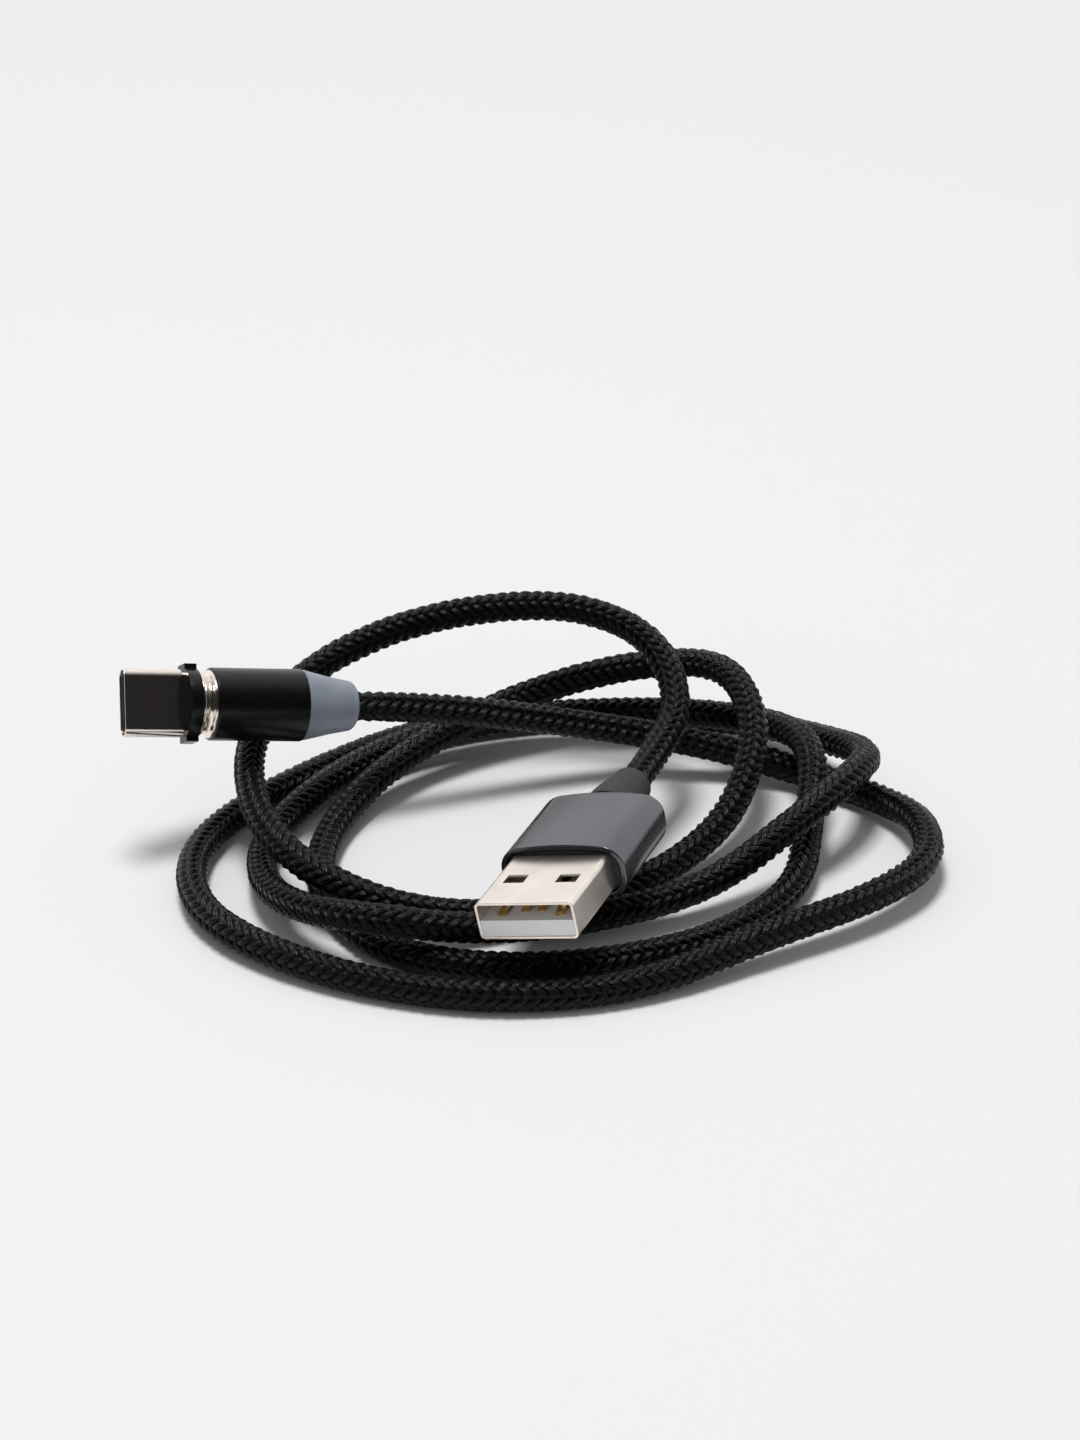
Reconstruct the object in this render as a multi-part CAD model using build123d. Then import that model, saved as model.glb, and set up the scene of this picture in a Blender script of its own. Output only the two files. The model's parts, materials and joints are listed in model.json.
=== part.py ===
"""Braided magnetic charging cable: USB-A plug, coiled cord, magnetic head and USB-C tip.

Millimetres, +Z up, +X right, +Y away from the reader. The cable lies coiled on its base plane z = 0.
Both plugs are drawn in their own frame, where z runs along the plug and x is its wide direction, and
are then set on the first and the last leg of the cord's route.
"""
import os
from math import pi, tan

from build123d import *

# ---------------------------------------------------------------- fits
sliding_gap = 0.02      # pogo pin in its barrel, radial
face_gap = 0.02         # between the head's ring and the tip's ring
spin_gap = 0.03         # tip body around the tip ring, radial and axial

# ---------------------------------------------------------------- cord
cord_dia = 3.8          # over the woven braid
jacket_dia = 2.9        # rubber jacket under the braid
cord_grip = 1.4         # depth the braid goes into the boot and into the light cone
bend_share = 0.45       # share of the shorter leg that each bend takes up
span_count = 6          # the cord is cut into this many nodes
coil_shift = -0.58      # along X, sets the middle of the whole cable's box on the origin

# x, y and the lift of the cord's underside above the base plane, from the USB-A plug to the head
route = [
    (12.0, -1.8, 8.2), (15.2, 6.7, 8.2), (19.0, 15.5, 11.0), (16.0, 25.5, 15.5), (7.0, 30.0, 18.0),
    (-4.5, 30.0, 18.0), (-17.0, 28.0, 16.0), (-28.0, 22.0, 12.5), (-34.0, 12.5, 8.5), (-33.5, 1.0, 6.5),
    (-30.0, -9.5, 5.5), (-22.5, -18.5, 4.5), (-12.0, -22.0, 2.5), (0.0, -18.5, 0.5), (12.5, -11.5, 0.0),
    (23.0, -1.0, 2.0), (27.5, 9.5, 6.0), (28.0, 19.0, 9.5), (24.5, 28.0, 11.0), (15.5, 32.5, 9.0),
    (5.0, 31.5, 7.0), (-6.5, 26.5, 4.5), (-17.5, 17.0, 2.0), (-24.0, 4.5, 0.0), (-25.0, -8.5, 0.0),
    (-21.5, -19.5, 0.0), (-13.5, -28.0, 0.0), (-1.5, -30.5, 0.0), (11.0, -28.5, 0.0), (23.0, -22.5, 0.0),
    (32.0, -11.5, 0.0), (34.0, 1.5, 2.5), (35.5, 14.0, 6.0), (31.5, 24.0, 4.5), (21.0, 30.5, 3.0),
    (9.0, 32.5, 2.0), (-5.5, 30.5, 2.0), (-18.5, 22.5, 1.5), (-27.5, 11.5, 0.5), (-32.0, -1.0, 0.5),
    (-31.0, -13.5, 1.5), (-26.0, -22.5, 3.5), (-17.0, -28.5, 5.5), (-6.5, -26.5, 3.0), (5.5, -22.0, 1.5),
    (21.0, -14.5, 1.5), (32.0, -5.5, 6.0), (39.5, 4.0, 7.5), (42.5, 14.5, 5.0), (37.5, 24.5, 2.0),
    (29.0, 32.5, 0.5), (16.0, 36.5, 0.0), (1.5, 36.0, 0.0), (-14.0, 31.0, 0.0), (-26.5, 20.0, 0.0),
    (-36.5, 7.5, 0.0), (-40.5, -4.5, 0.5), (-38.5, -17.0, 0.5), (-30.5, -26.5, 0.5), (-18.0, -33.5, 0.0),
    (-3.5, -37.0, 0.0), (12.5, -34.5, 0.0), (27.5, -25.0, 1.5), (40.5, -17.0, 2.0), (48.0, -8.0, 2.0),
    (48.0, 3.5, 1.5), (43.0, 12.5, 0.0), (33.0, 19.5, 0.5), (21.5, 22.5, 2.5), (10.5, 22.5, 4.5),
    (0.0, 19.5, 7.5), (-11.43, 15.63, 10.78), (-22.52, 11.57, 12.91),
]

# ---------------------------------------------------------------- USB-A plug
plug_roll = 11.8        # degrees, right side up
boot_length = 8.0       # boot outside the housing
boot_end_dia = 4.9
boot_mid_dia = 6.6
boot_root_dia = 6.7
boot_neck_dia = 5.0     # through the housing's rear wall
anchor_length = 1.6     # block that holds the boot inside the housing
anchor_width = 8.6
housing_length = 15.6
housing_width = 15.3
housing_thickness = 7.1
housing_crown = 0.7     # rise of the top and bottom faces from side to middle
housing_corner = 2.5
housing_wall = 0.75
housing_rear_round = 2.0
housing_lip_bevel = 0.35
shell_width = 12.0
shell_thickness = 4.5
shell_wall = 0.3
shell_corner = 0.55
shell_length = 18.75
shell_exposed = 12.0
window_width = 2.5
window_length = 2.0
window_setback = 5.16   # mouth to the window's front edge
window_spacing = 6.4    # centre to centre
tongue_thickness = 1.95
tongue_recess = 0.15
tongue_heel = 2.2       # full-height block at the tongue's rear
contact_width = 1.0
contact_thickness = 0.3
contact_proud = 0.06    # contact above the tongue's face
outer_contact_at = 3.5
inner_contact_at = 1.0
outer_contact_setback = 1.3
inner_contact_setback = 2.3
tail_length = 2.6       # contact tails behind the shell
jacket_end_gap = 0.4    # jacket past the crimp
wire_dia = 0.8
wire_spread = 0.52      # wires off the jacket's axis, each way
wire_knee = 0.3
wire_names = ("power", "data_minus", "data_plus", "ground")
crimp_wall = 0.3
crimp_length = 1.5
mould_lip_recess = 0.5  # inner mould behind the housing's front lip

# ---------------------------------------------------------------- magnetic head
cone_length = 6.95
cone_end_dia = 6.1
cone_end_round = 1.15
cone_root_dia = 8.7
cone_wall = 1.2
cone_spigot = 1.5       # cone inside the sleeve
sleeve_length = 11.55
sleeve_dia = 8.8
sleeve_wall = 0.45
head_ring_exposed = 0.8
head_ring_depth = 2.6
head_ring_dia = 8.3
ring_bore = 4.6
ring_groove = 0.45      # chamfer that makes the groove between the two rings
barrel_dia = 1.9
barrel_length = 4.6
barrel_wall = 0.3
pin_dia = 0.9
pin_collar_dia = 1.2
pin_collar_length = 0.6
pin_stroke = 0.6
spring_wire = 0.16
spring_dia = 1.0
spring_turns = 5
head_board_dia = 7.4
board_thickness = 0.8
led_size = 1.2
led_height = 0.6
led_at = 2.4
head_wire_at = 1.9      # where each wire meets the board

# ---------------------------------------------------------------- tip
tip_ring_exposed = 0.9
tip_ring_depth = 0.45
tip_ring_dia = 8.3
flange_length = 1.57
flange_dia = 8.5
ear_reach = 4.7         # centre to the ear's end
ear_width = 2.6
ear_round = 0.35
tip_tilt = 32.0         # degrees, top of the USB-C plug leans back
usb_c_width = 8.25
usb_c_thickness = 2.40
usb_c_wall = 0.2
usb_c_exposed = 7.4
usb_c_buried = 0.65
usb_c_slot_width = 6.7
usb_c_slot_height = 0.8
usb_c_slot_depth = 6.4
usb_c_contact_count = 12
usb_c_contact_pitch = 0.5
usb_c_contact_width = 0.25
usb_c_contact_thickness = 0.12
usb_c_contact_setback = 1.2
usb_c_contact_length = 4.0
tip_contact_dia = 2.0
tip_contact_depth = 0.6
tip_board_thickness = 0.4
tip_board_width = 6.6

# ---------------------------------------------------------------- positions along the USB-A plug
housing_rear = boot_length
housing_front = housing_rear + housing_length
mouth = housing_front + shell_exposed
shell_rear = mouth - shell_length
anchor_front = housing_rear + housing_wall + anchor_length
crimp_front = anchor_front + crimp_length
jacket_front = crimp_front + jacket_end_gap
tail_rear = shell_rear - tail_length

# ---------------------------------------------------------------- positions along the head
sleeve_rear = cone_length
sleeve_front = sleeve_rear + sleeve_length
ring_face = sleeve_front + head_ring_exposed
tip_ring_rear = ring_face + face_gap
flange_rear = tip_ring_rear + tip_ring_exposed
flange_front = flange_rear + flange_length
rim = flange_front + usb_c_exposed
insulator_rear = ring_face - head_ring_depth
barrel_rear = ring_face - barrel_length
board_rear = barrel_rear - board_thickness
usb_c_rear = flange_front - usb_c_buried
tip_board_rear = usb_c_rear - tip_board_thickness

points = [Vector(x + coil_shift, y, cord_dia / 2 + lift) for x, y, lift in route]


def rotated_x(direction, lean):
    """The level direction square to `direction`, turned about it by `lean` degrees."""
    level = direction.cross(Vector(0, 0, 1)).normalized()
    return level.rotate(Axis((0, 0, 0), direction), lean)


plug_forward = (points[0] - points[1]).normalized()
plug_origin = points[0] - plug_forward * cord_grip
plug_frame = Plane(origin=plug_origin, x_dir=rotated_x(plug_forward, 180 + plug_roll), z_dir=plug_forward)

head_forward = (points[-1] - points[-2]).normalized()
head_origin = points[-1] - head_forward * cord_grip
head_frame = Plane(origin=head_origin, x_dir=rotated_x(head_forward, 90 + tip_tilt), z_dir=head_forward)


# ---------------------------------------------------------------- helpers
def disc(dia, rear, front):
    """A solid cylinder on the local z axis from rear to front."""
    return Pos(0, 0, rear) * Cylinder(dia / 2, front - rear, align=(Align.CENTER, Align.CENTER, Align.MIN))


def tube(outer, inner, rear, front):
    """A plain ring on the local z axis."""
    return disc(outer, rear, front) - disc(inner, rear, front)


def block(width, height, rear, front, x=0.0, y=0.0):
    """A box centred at x, y that runs from rear to front."""
    return Pos(x, y, rear) * Box(width, height, front - rear, align=(Align.CENTER, Align.CENTER, Align.MIN))


def prism(sketch, rear, front):
    """A sketch pushed along the local z axis from rear to front."""
    return Pos(0, 0, rear) * extrude(sketch, front - rear)


def rod(begin, end, dia, run_back):
    """A round bar from begin to end, started run_back before begin."""
    along = (end - begin).normalized()
    start = begin - along * run_back
    return Solid.make_cylinder(dia / 2, (end - start).length, Plane(origin=start, z_dir=along))


def turned(profile):
    """Revolve a list of (radius, z) corners about the local z axis."""
    face = make_face(Polyline(*[(r, 0, z) for r, z in profile], close=True))
    return revolve(face, Axis.Z)


def shell_outline(inset):
    return RectangleRounded(shell_width - 2 * inset, shell_thickness - 2 * inset, shell_corner - inset * 0.8)


def usb_c_outline(inset):
    return SlotOverall(usb_c_width - 2 * inset, usb_c_thickness - 2 * inset)


def housing_outline(inset):
    """Crowned top and bottom with rounded sides."""
    half_width = housing_width / 2 - inset
    middle = housing_thickness / 2 - inset
    side = middle - housing_crown
    top = ThreePointArc((-half_width, side), (0, middle), (half_width, side))
    bottom = ThreePointArc((half_width, -side), (0, -middle), (-half_width, -side))
    right = Line((half_width, side), (half_width, -side))
    left = Line((-half_width, -side), (-half_width, side))
    face = make_face([top, right, bottom, left])
    return fillet(face.vertices(), housing_corner - inset * 0.9)


# ---------------------------------------------------------------- cord
def bend_radii(corners):
    """Largest bend at each inner corner that takes up bend_share of the shorter leg beside it."""
    radii = []
    for before, here, after in zip(corners, corners[1:], corners[2:]):
        leg_in = here - before
        leg_out = after - here
        turn = leg_in.get_angle(leg_out) * pi / 180
        radii.append(bend_share * min(leg_in.length, leg_out.length) / tan(turn / 2))
    return radii


def cord_spans():
    """The cord as solid tubes that meet face to face in the middle of a leg."""
    radii = bend_radii(points)
    legs = len(points) - 1
    cuts = [round(legs * k / span_count) for k in range(1, span_count)]
    starts = [0] + cuts
    stops = cuts + [legs]
    spans = []
    total = 0.0
    for start, stop in zip(starts, stops):
        first = points[0] if start == 0 else (points[start - 1] + points[start]) / 2
        last = points[-1] if stop == legs else (points[stop - 1] + points[stop]) / 2
        inner_start = 1 if start == 0 else start
        inner_stop = legs if stop == legs else stop
        inner = points[inner_start:inner_stop]
        path = FilletPolyline(first, *inner, last, radius=radii[inner_start - 1:inner_stop - 1])
        section = Plane(origin=path @ 0, z_dir=path % 0) * Circle(cord_dia / 2)
        solid = sweep(section, path=path)
        spans.append(solid)
        total += path.length
        expected = pi * cord_dia ** 2 / 4 * path.length
        print("span %d length %.1f volume ratio %.4f" % (len(spans), path.length, solid.volume / expected))
    print("cord length %.1f mm" % total)
    print("bend radii mm", [round(r, 1) for r in radii])
    print("tightest bend %.1f mm = %.1f diameters" % (min(radii), min(radii) / cord_dia))
    return spans


# ---------------------------------------------------------------- USB-A plug pieces
def usb_a_shell():
    body = prism(shell_outline(0), shell_rear, mouth) - prism(shell_outline(shell_wall), shell_rear, mouth)
    window_front = mouth - window_setback
    for side in (-1, 1):
        body -= block(window_width, shell_thickness + 2, window_front - window_length, window_front,
                      x=side * window_spacing / 2)
    return body


def tongue_face():
    """Height of the tongue's upper face in the plug's frame."""
    return -shell_thickness / 2 + shell_wall + tongue_thickness


def contact_lines():
    """Centre and setback of each of the four contacts."""
    return [
        (-outer_contact_at, outer_contact_setback),
        (-inner_contact_at, inner_contact_setback),
        (inner_contact_at, inner_contact_setback),
        (outer_contact_at, outer_contact_setback),
    ]


def usb_a_contact(x, setback):
    """Flat spring contact with a rolled front end and a narrow tail for the wire."""
    top = tongue_face() + contact_proud
    middle = top - contact_thickness / 2
    strip = block(contact_width, contact_thickness, shell_rear, mouth - setback, x=x, y=middle)
    nose = strip.edges().filter_by(Axis.X).group_by(Axis.Z)[-1].sort_by(Axis.Y)[-1]
    strip = fillet(nose, contact_thickness * 0.8)
    tail = block(contact_width * 0.7, contact_thickness, tail_rear, shell_rear, x=x, y=middle)
    return strip + tail


def usb_a_tongue():
    """Plastic tongue in the lower half of the shell, with a groove under every contact."""
    inside_width = shell_width - 2 * shell_wall
    inside = prism(shell_outline(shell_wall), shell_rear, mouth - tongue_recess)
    floor = -shell_thickness / 2 + shell_wall
    keep = block(inside_width + 1, tongue_thickness, shell_rear, mouth, y=floor + tongue_thickness / 2)
    body = inside & keep
    for x, setback in contact_lines():
        depth = contact_thickness - contact_proud
        body -= block(contact_width, depth + 1, shell_rear, mouth - setback, x=x,
                      y=tongue_face() - depth + (depth + 1) / 2)
    upper = prism(shell_outline(shell_wall), shell_rear, shell_rear + tongue_heel) - keep
    for x, setback in contact_lines():
        upper -= usb_a_contact(x, setback)
    return body + upper


def housing_cavity():
    body = prism(housing_outline(housing_wall), housing_rear + housing_wall, housing_front)
    return fillet(body.faces().sort_by(Axis.Z)[0].edges(), housing_rear_round - housing_wall)


def usb_a_housing():
    """Anodised sleeve: closed rear with a round hole for the boot, open front for the shell."""
    outer = prism(housing_outline(0), housing_rear, housing_front)
    outer = fillet(outer.faces().sort_by(Axis.Z)[0].edges(), housing_rear_round)
    body = outer - housing_cavity() - disc(boot_neck_dia, housing_rear, housing_rear + housing_wall)
    front = body.faces().sort_by(Axis.Z)[-1]
    return chamfer(front.inner_wires()[0].edges(), housing_lip_bevel)


def usb_a_inner_mould():
    """Plastic that fills the housing around the shell's tail, the contact tails and the wires."""
    front = housing_front - mould_lip_recess
    body = housing_cavity() & block(housing_width, housing_thickness, anchor_front, front)
    body -= prism(shell_outline(0), shell_rear, front)
    for x, _ in contact_lines():
        middle = tongue_face() + contact_proud - contact_thickness / 2
        body -= block(contact_width * 0.7, contact_thickness, tail_rear, shell_rear, x=x, y=middle)
    body -= disc(jacket_dia + 2 * crimp_wall, anchor_front, crimp_front)
    body -= disc(jacket_dia, crimp_front, jacket_front)
    for index in range(4):
        body -= usb_a_wire(index)
    return body


def usb_a_boot():
    """Tapered strain relief with an anchor block inside the housing."""
    half_round = 0.45
    profile = [
        (0, 0), (boot_end_dia / 2 - half_round, 0), (boot_end_dia / 2 - 0.13, 0.13), (boot_end_dia / 2, half_round),
        (boot_mid_dia / 2 - 0.2, boot_length * 0.62), (boot_mid_dia / 2, boot_length * 0.8),
        (boot_root_dia / 2, boot_length), (0, boot_length),
    ]
    body = turned(profile)
    body += disc(boot_neck_dia, boot_length, housing_rear + housing_wall)
    body += housing_cavity() & block(anchor_width, housing_thickness, housing_rear + housing_wall, anchor_front)
    body -= disc(cord_dia, 0, cord_grip)
    body -= disc(jacket_dia, cord_grip, anchor_front)
    return body


def usb_a_crimp():
    return tube(jacket_dia + 2 * crimp_wall, jacket_dia, anchor_front, crimp_front)


def cord_jacket(front):
    """Inner jacket that goes on where the braid stops."""
    return disc(jacket_dia, cord_grip, front)


def usb_a_wire(index):
    """One insulated conductor from the jacket's end to its contact tail."""
    x = contact_lines()[index][0]
    outer = index in (0, 3)
    level = tongue_face() + contact_proud - contact_thickness / 2
    offset = (contact_thickness + wire_dia) / 2 * (1 if outer else -1)
    begin = Vector(wire_spread * (-1 if index < 2 else 1), wire_spread * (1 if outer else -1), jacket_front)
    knee = Vector(x, level + offset, tail_rear + wire_knee)
    reach = Vector(x, level + offset, shell_rear - wire_knee)
    lead = rod(begin, knee, wire_dia, wire_dia) & block(housing_width, housing_thickness, jacket_front, mouth)
    return lead + Pos(*knee) * Sphere(wire_dia / 2) + rod(knee, reach, wire_dia, 0)


# ---------------------------------------------------------------- head pieces
def head_diffuser():
    """Frosted light cone around the cord's end, with a spigot in the sleeve."""
    outer = turned([
        (0, 0), (cone_end_dia / 2, 0), (cone_root_dia / 2, cone_length), (0, cone_length),
    ])
    end = outer.edges().filter_by(GeomType.CIRCLE).sort_by(Axis.Z)[0]
    outer = fillet(end, cone_end_round)
    spigot = disc(sleeve_dia - 2 * sleeve_wall, cone_length, cone_length + cone_spigot)
    body = outer + spigot
    inner = turned([
        (0, cord_grip + 1.2), (cone_end_dia / 2 - cone_wall, cord_grip + 1.2),
        (cone_root_dia / 2 - cone_wall, cone_length), (cone_root_dia / 2 - cone_wall, cone_length + cone_spigot),
        (0, cone_length + cone_spigot),
    ])
    body -= inner
    body -= disc(cord_dia, 0, cord_grip)
    body -= disc(jacket_dia, cord_grip, cord_grip + 1.2)
    return body


def head_sleeve():
    body = tube(sleeve_dia, sleeve_dia - 2 * sleeve_wall, sleeve_rear, sleeve_front)
    front = body.edges().filter_by(GeomType.CIRCLE).group_by(Axis.Z)[-1].sort_by(SortBy.RADIUS)[-1]
    return chamfer(front, 0.15)


def head_magnet_ring():
    """Nickel-plated ring magnet: wide part in the sleeve, face just proud of it."""
    body = tube(sleeve_dia - 2 * sleeve_wall, ring_bore, insulator_rear, sleeve_front)
    body += tube(head_ring_dia, ring_bore, sleeve_front, ring_face)
    rim_edge = body.edges().filter_by(GeomType.CIRCLE).group_by(Axis.Z)[-1].sort_by(SortBy.RADIUS)[-1]
    return chamfer(rim_edge, ring_groove)


def head_insulator():
    """Plastic core between the ring magnet and the pogo barrel."""
    wide = sleeve_dia - 2 * sleeve_wall
    body = disc(ring_bore, insulator_rear, ring_face)
    body += disc(wide, barrel_rear, insulator_rear)
    return body - disc(barrel_dia, barrel_rear, ring_face)


def pogo_barrel():
    """Brass tube with a closed base and a lip that keeps the pin's collar in."""
    body = disc(barrel_dia, barrel_rear, ring_face)
    body -= disc(barrel_dia - 2 * barrel_wall, barrel_rear + barrel_wall, ring_face - 2 * barrel_wall)
    return body - disc(pin_dia + 2 * sliding_gap, ring_face - 2 * barrel_wall, ring_face)


def pin_collar_front():
    return ring_face - 2 * barrel_wall - sliding_gap


def pogo_pin():
    """Sprung pin whose round nose stands at the ring face."""
    front = tip_ring_rear - sliding_gap / 2
    body = disc(pin_dia, pin_collar_front(), front)
    nose = body.edges().filter_by(GeomType.CIRCLE).sort_by(Axis.Z)[-1]
    body = fillet(nose, pin_dia * 0.35)
    return body + disc(pin_collar_dia, pin_collar_front() - pin_collar_length, pin_collar_front())


def pogo_spring():
    """Coil behind the pin, drawn clear of the collar by the pin's stroke."""
    base = barrel_rear + barrel_wall
    top = pin_collar_front() - pin_collar_length - pin_stroke - 0.1
    height = top - base - 2 * spring_wire
    path = Helix(pitch=height / spring_turns, height=height, radius=(spring_dia - spring_wire) / 2)
    section = Plane(origin=path @ 0, z_dir=path % 0) * Circle(spring_wire / 2)
    return Pos(0, 0, base + spring_wire) * sweep(section, path=path)


def head_board():
    return disc(head_board_dia, board_rear, barrel_rear)


def head_led(side):
    """Surface-mounted light on the rear face of the board."""
    return block(led_size, led_size * 0.6, board_rear - led_height, board_rear, x=side * led_at)


def head_wire(side):
    """Conductor from the jacket's end to the board."""
    begin = Vector(0, side * wire_spread, cone_length)
    end = Vector(0, side * head_wire_at, board_rear + wire_dia)
    return rod(begin, end, wire_dia, wire_dia) & disc(sleeve_dia, cone_length, board_rear)


def head_crimp():
    return tube(jacket_dia + 2 * crimp_wall, jacket_dia, cone_length - crimp_length - 0.2, cone_length - 0.2)


# ---------------------------------------------------------------- tip pieces
def tip_magnet_ring():
    """Plated ring that the head's magnet pulls on; its rear part turns inside the tip's body."""
    body = tube(tip_ring_dia, ring_bore, tip_ring_rear, flange_rear)
    body += tube(tip_ring_dia - 1.6, ring_bore, flange_rear, flange_rear + tip_ring_depth)
    rim_edge = body.edges().filter_by(GeomType.CIRCLE).group_by(Axis.Z)[0].sort_by(SortBy.RADIUS)[-1]
    return chamfer(rim_edge, ring_groove)


def tip_flange():
    """Black tip body: a round plate with a small ear at each end of the USB-C plug's width."""
    body = disc(flange_dia, flange_rear + spin_gap, flange_front)
    ears = block(2 * ear_reach, ear_width, flange_rear + spin_gap, flange_front)
    body += fillet(ears.edges().filter_by(Axis.Z), ear_round)
    body -= disc(tip_ring_dia - 1.6 + 2 * spin_gap, flange_rear, flange_rear + tip_ring_depth + spin_gap)
    body -= prism(usb_c_outline(0), usb_c_rear, flange_front)
    body -= tip_board_space()
    return body


def tip_board_space():
    return block(tip_board_width, usb_c_thickness - 2 * usb_c_wall, tip_board_rear, usb_c_rear)


def tip_insulator():
    """Plastic core of the tip ring, around the centre contact."""
    body = disc(ring_bore - 2 * spin_gap, tip_ring_rear, flange_rear + tip_ring_depth + spin_gap)
    return body - disc(tip_contact_dia, tip_ring_rear, tip_ring_rear + tip_contact_depth)


def tip_centre_contact():
    return disc(tip_contact_dia, tip_ring_rear, tip_ring_rear + tip_contact_depth)


def tip_board():
    return tip_board_space()


def usb_c_shell():
    body = prism(usb_c_outline(0), usb_c_rear, rim)
    body -= prism(usb_c_outline(usb_c_wall), usb_c_rear, rim)
    return fillet(body.faces().sort_by(Axis.Z)[-1].outer_wire().edges(), usb_c_wall * 0.6)


def usb_c_insert():
    """Plastic lining of the USB-C shell with the slot for the socket's tongue."""
    body = prism(usb_c_outline(usb_c_wall), usb_c_rear, rim - 0.25)
    body -= block(usb_c_slot_width, usb_c_slot_height, rim - usb_c_slot_depth, rim)
    for row in (-1, 1):
        body -= usb_c_contact_row(row)
    return body


def usb_c_contact_row(row):
    """Twelve contact strips let into one side of the slot."""
    front = rim - usb_c_contact_setback
    height = row * (usb_c_slot_height + usb_c_contact_thickness) / 2
    strips = []
    for index in range(usb_c_contact_count):
        x = (index - (usb_c_contact_count - 1) / 2) * usb_c_contact_pitch
        strips.append(block(usb_c_contact_width, usb_c_contact_thickness, front - usb_c_contact_length, front,
                            x=x, y=height))
    return Part() + strips


# ---------------------------------------------------------------- assembly
def on(frame, solid):
    return solid.moved(frame.location)


def build():
    pieces = {}
    pieces["usb_a_shell"] = on(plug_frame, usb_a_shell())
    pieces["usb_a_tongue"] = on(plug_frame, usb_a_tongue())
    for index, (x, setback) in enumerate(contact_lines()):
        pieces["usb_a_contact_" + wire_names[index]] = on(plug_frame, usb_a_contact(x, setback))
        pieces["usb_a_wire_" + wire_names[index]] = on(plug_frame, usb_a_wire(index))
    pieces["usb_a_inner_mould"] = on(plug_frame, usb_a_inner_mould())
    pieces["usb_a_housing"] = on(plug_frame, usb_a_housing())
    pieces["usb_a_boot"] = on(plug_frame, usb_a_boot())
    pieces["usb_a_crimp"] = on(plug_frame, usb_a_crimp())
    pieces["cord_jacket_plug"] = on(plug_frame, cord_jacket(jacket_front))
    for index, span in enumerate(cord_spans()):
        pieces["cord_span_%d" % (index + 1)] = span
    pieces["cord_jacket_head"] = on(head_frame, cord_jacket(cone_length))
    pieces["head_diffuser"] = on(head_frame, head_diffuser())
    pieces["head_crimp"] = on(head_frame, head_crimp())
    pieces["head_sleeve"] = on(head_frame, head_sleeve())
    pieces["head_magnet_ring"] = on(head_frame, head_magnet_ring())
    pieces["head_insulator"] = on(head_frame, head_insulator())
    pieces["pogo_barrel"] = on(head_frame, pogo_barrel())
    pieces["pogo_pin"] = on(head_frame, pogo_pin())
    pieces["pogo_spring"] = on(head_frame, pogo_spring())
    pieces["head_board"] = on(head_frame, head_board())
    for name, side in (("left", -1), ("right", 1)):
        pieces["head_led_" + name] = on(head_frame, head_led(side))
        pieces["head_wire_" + name] = on(head_frame, head_wire(side))
    pieces["tip_magnet_ring"] = on(head_frame, tip_magnet_ring())
    pieces["tip_flange"] = on(head_frame, tip_flange())
    pieces["tip_insulator"] = on(head_frame, tip_insulator())
    pieces["tip_centre_contact"] = on(head_frame, tip_centre_contact())
    pieces["tip_board"] = on(head_frame, tip_board())
    pieces["usb_c_shell"] = on(head_frame, usb_c_shell())
    pieces["usb_c_insert"] = on(head_frame, usb_c_insert())
    pieces["usb_c_contacts_upper"] = on(head_frame, usb_c_contact_row(1))
    pieces["usb_c_contacts_lower"] = on(head_frame, usb_c_contact_row(-1))
    return pieces


os.makedirs("parts", exist_ok=True)
low = Vector(1e9, 1e9, 1e9)
high = Vector(-1e9, -1e9, -1e9)
for name, solid in build().items():
    solid.label = name
    export_step(solid, "parts/%s.step" % name)
    box = solid.bounding_box()
    low = Vector(min(low.X, box.min.X), min(low.Y, box.min.Y), min(low.Z, box.min.Z))
    high = Vector(max(high.X, box.max.X), max(high.Y, box.max.Y), max(high.Z, box.max.Z))
    print("%-24s solids %2d volume %9.3f" % (name, len(solid.solids()), solid.volume))
print("box", [round(v, 2) for v in low], [round(v, 2) for v in high])
print("head axis", [round(v, 5) for v in head_forward])
print("head ring face", [round(v, 3) for v in head_origin + head_forward * ring_face])
print("usb c rim", [round(v, 3) for v in head_origin + head_forward * rim])
print("plug axis", [round(v, 5) for v in plug_forward])
print("usb a mouth", [round(v, 3) for v in plug_origin + plug_forward * mouth])
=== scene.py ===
"""Braided magnetic charging cable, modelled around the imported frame."""

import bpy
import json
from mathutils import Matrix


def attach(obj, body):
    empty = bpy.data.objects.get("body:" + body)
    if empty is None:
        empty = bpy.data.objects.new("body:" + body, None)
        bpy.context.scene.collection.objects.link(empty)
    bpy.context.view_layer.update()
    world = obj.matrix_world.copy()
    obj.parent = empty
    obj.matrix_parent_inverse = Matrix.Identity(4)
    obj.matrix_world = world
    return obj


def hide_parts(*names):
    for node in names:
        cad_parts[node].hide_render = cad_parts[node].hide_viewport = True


bl_info = {
    "name": "Magnetic Charging Cable",
    "version": (1, 0, 0),
    "blender": (4, 5, 0),
    "location": "3D View > Sidebar > Cable",
    "description": "Builds a braided charging cable with a magnetic head and a detachable tip",
    "category": "Object",
}

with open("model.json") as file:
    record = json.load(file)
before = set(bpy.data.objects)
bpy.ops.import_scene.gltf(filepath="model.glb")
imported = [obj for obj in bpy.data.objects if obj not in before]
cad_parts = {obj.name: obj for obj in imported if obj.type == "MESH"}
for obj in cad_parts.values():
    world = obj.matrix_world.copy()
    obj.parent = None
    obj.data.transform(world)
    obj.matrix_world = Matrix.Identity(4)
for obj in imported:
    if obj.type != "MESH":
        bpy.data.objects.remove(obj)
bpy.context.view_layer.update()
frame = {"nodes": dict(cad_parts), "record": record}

import json
from math import cos, pi, radians, sin, tau

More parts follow.
